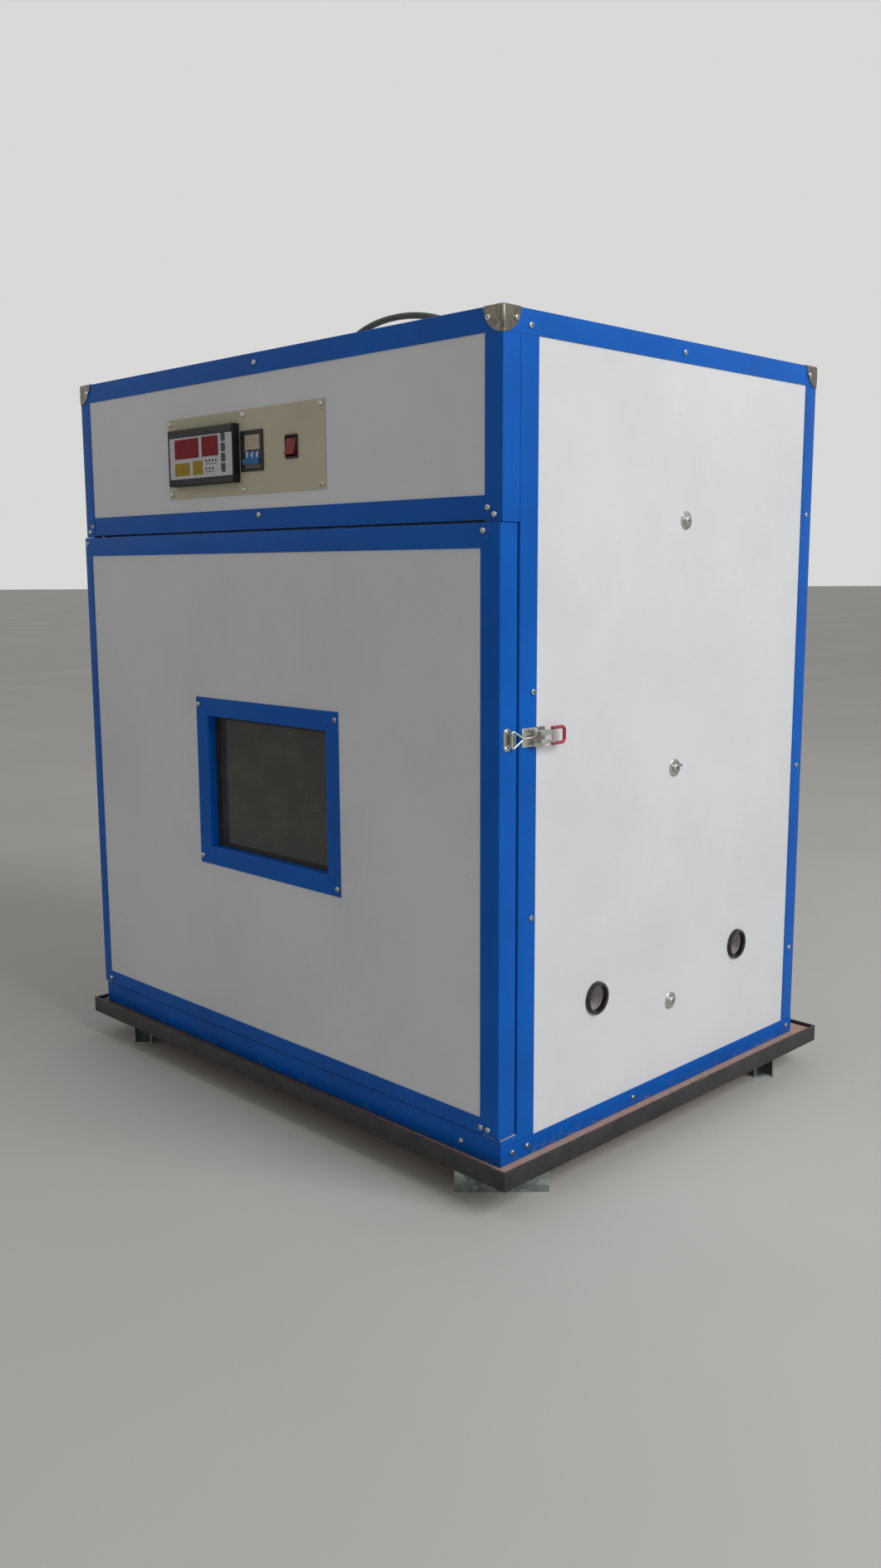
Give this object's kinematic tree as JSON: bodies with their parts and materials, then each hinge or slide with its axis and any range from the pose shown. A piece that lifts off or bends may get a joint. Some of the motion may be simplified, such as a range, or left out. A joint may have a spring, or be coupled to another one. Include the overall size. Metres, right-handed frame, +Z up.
{
  "type": "egg incubator",
  "caption": "Upright cabinet egg incubator with a windowed front door, a control panel above it, a tilting egg rack inside and a steel base tray underneath.",
  "frame": {"origin": "centre of the base tray's outline, on the floor", "axes": "+Z up, -Y towards the door and control panel, +X towards the latch side"},
  "size_m": [0.956, 0.738, 1.1801],
  "materials": {
    "white_panel": "satin",
    "inner_panel": "satin",
    "blue_trim": "satin",
    "nickel_cap": "polished",
    "screw_zinc": "polished",
    "vent_plastic": "gloss",
    "zinc_steel": "polished",
    "red_dip": "gloss",
    "beige_plate": "satin",
    "black_plastic": "satin",
    "grey_key": "matte",
    "beige_plastic": "matte",
    "blue_plastic": "satin",
    "red_key": "gloss",
    "black_rubber": "matte",
    "window_glass": "gloss",
    "dark_steel": "matte",
    "plywood": "matte",
    "galvanised": "matte",
    "rack_aluminium": "satin",
    "tray_plastic": "satin",
    "gear_steel": "satin",
    "motor_case": "satin",
    "fan_aluminium": "satin",
    "heater_steel": "satin",
    "pan_steel": "satin",
    "cord_fitting": "satin",
    "cord_sheath": "satin"
  },
  "bodies": {
    "root": {"floor_panel": "white_panel", "left_wall": "white_panel", "right_wall": "white_panel", "back_wall": "white_panel", "roof_panel": "white_panel", "fascia_panel": "white_panel", "door_frame_rails": "inner_panel", "partition_panel": "inner_panel", "cabinet_trim": "blue_trim", "corner_caps": "nickel_cap", "cabinet_screws": "screw_zinc", "vent_rings": "vent_plastic", "rack_bolts": "zinc_steel", "latch_base": "zinc_steel", "hinge_fixed_leaves": "zinc_steel", "control_plate": "beige_plate", "controller_case": "black_plastic", "breaker_bezel": "black_plastic", "rocker_bezel": "black_plastic", "breaker_body": "beige_plastic", "base_frame": "dark_steel", "base_board": "plywood", "base_feet": "galvanised", "rack_uprights": "rack_aluminium", "turner_motor": "motor_case", "fan_motor": "motor_case", "heater": "heater_steel", "water_pan": "pan_steel", "cord_gland": "cord_fitting", "plug": "cord_fitting", "cord_lead": "cord_sheath", "cord_coil": "cord_sheath"},
    "door": {"door_panel": "white_panel", "door_trim": "blue_trim", "window_trim": "blue_trim", "window_gasket": "black_rubber", "window_glass": "window_glass", "door_seal": "black_rubber", "door_screws": "screw_zinc", "hinge_door_leaves": "zinc_steel", "latch_strike": "zinc_steel"},
    "latch_lever": {"latch_lever": "zinc_steel", "latch_grip": "red_dip"},
    "latch_bail": {"latch_bail": "zinc_steel"},
    "breaker_toggle": {"breaker_toggle": "blue_plastic"},
    "rocker_key": {"rocker_key": "red_key"},
    "button_1": {"controller_button_1": "grey_key"},
    "button_2": {"controller_button_2": "grey_key"},
    "button_3": {"controller_button_3": "grey_key"},
    "button_4": {"controller_button_4": "grey_key"},
    "fan_rotor": {"fan_blades": "fan_aluminium"},
    "carrier_1": {"tray_carrier_1": "rack_aluminium", "egg_tray_1": "tray_plastic"},
    "carrier_2": {"tray_carrier_2": "rack_aluminium", "egg_tray_2": "tray_plastic", "turner_sector": "gear_steel"},
    "carrier_3": {"tray_carrier_3": "rack_aluminium", "egg_tray_3": "tray_plastic"},
    "rack_link": {"rack_link": "rack_aluminium"},
    "turner_pinion": {"turner_pinion": "gear_steel"}
  },
  "joints": [
    {"name": "door_hinge", "type": "hinge", "parent": "root", "child": "door", "pos_m": [-0.463, -0.327, 0.4], "axis": [0, 0, -1], "range_deg": [0, 115]},
    {"name": "latch_lever_swing", "type": "hinge", "parent": "root", "child": "latch_lever", "pos_m": [0.464, -0.303, 0.589], "axis": [0, 0, -1], "range_deg": [0, 100]},
    {"name": "latch_bail_swing", "type": "hinge", "parent": "latch_lever", "child": "latch_bail", "pos_m": [0.463, -0.295, 0.589], "axis": [0, 0, 1], "range_deg": [0, 144]},
    {"name": "breaker_throw", "type": "hinge", "parent": "root", "child": "breaker_toggle", "pos_m": [-0.0075, -0.348, 0.942], "axis": [-1, 0, 0], "range_deg": [0, 65]},
    {"name": "rocker_tilt", "type": "hinge", "parent": "root", "child": "rocker_key", "pos_m": [0.079, -0.3555, 0.949], "axis": [1, 0, 0], "range_deg": [0, 22]},
    {"name": "button_1_press", "type": "slide", "parent": "root", "child": "button_1", "axis": [0, 1, 0], "range_m": [0, 0.0015], "stiffness_N_per_m": 150},
    {"name": "button_2_press", "type": "slide", "parent": "root", "child": "button_2", "axis": [0, 1, 0], "range_m": [0, 0.0015], "stiffness_N_per_m": 150},
    {"name": "button_3_press", "type": "slide", "parent": "root", "child": "button_3", "axis": [0, 1, 0], "range_m": [0, 0.0015], "stiffness_N_per_m": 150},
    {"name": "button_4_press", "type": "slide", "parent": "root", "child": "button_4", "axis": [0, 1, 0], "range_m": [0, 0.0015], "stiffness_N_per_m": 150},
    {"name": "fan_spin", "type": "hinge", "parent": "root", "child": "fan_rotor", "pos_m": [0, 0.24, 0.698], "axis": [0, 1, 0], "continuous": true},
    {"name": "tray_2_tilt", "type": "hinge", "parent": "root", "child": "carrier_2", "pos_m": [0, 0, 0.493], "axis": [1, 0, 0], "range_deg": [-45, 45]},
    {"name": "tray_1_tilt", "type": "hinge", "parent": "root", "child": "carrier_1", "pos_m": [0, 0, 0.32296], "axis": [1, 0, 0], "range_deg": [-45, 45]},
    {"name": "tray_3_tilt", "type": "hinge", "parent": "root", "child": "carrier_3", "pos_m": [0, 0, 0.66304], "axis": [1, 0, 0], "range_deg": [-45, 45]},
    {"name": "link_turn", "type": "hinge", "parent": "carrier_2", "child": "rack_link", "pos_m": [0.403, 0.06, 0.493], "axis": [1, 0, 0], "range_deg": [-45, 45]},
    {"name": "pinion_turn", "type": "hinge", "parent": "root", "child": "turner_pinion", "pos_m": [-0.402, 0.08, 0.493], "axis": [1, 0, 0], "range_deg": [-135, 135]}
  ],
  "couplings": [
    {"joint": "latch_bail_swing", "follows": "latch_lever_swing", "ratio": 1.44},
    {"joint": "tray_1_tilt", "follows": "tray_2_tilt", "ratio": 1},
    {"joint": "tray_3_tilt", "follows": "tray_2_tilt", "ratio": 1},
    {"joint": "link_turn", "follows": "tray_2_tilt", "ratio": -1},
    {"joint": "pinion_turn", "follows": "tray_2_tilt", "ratio": -3}
  ]
}
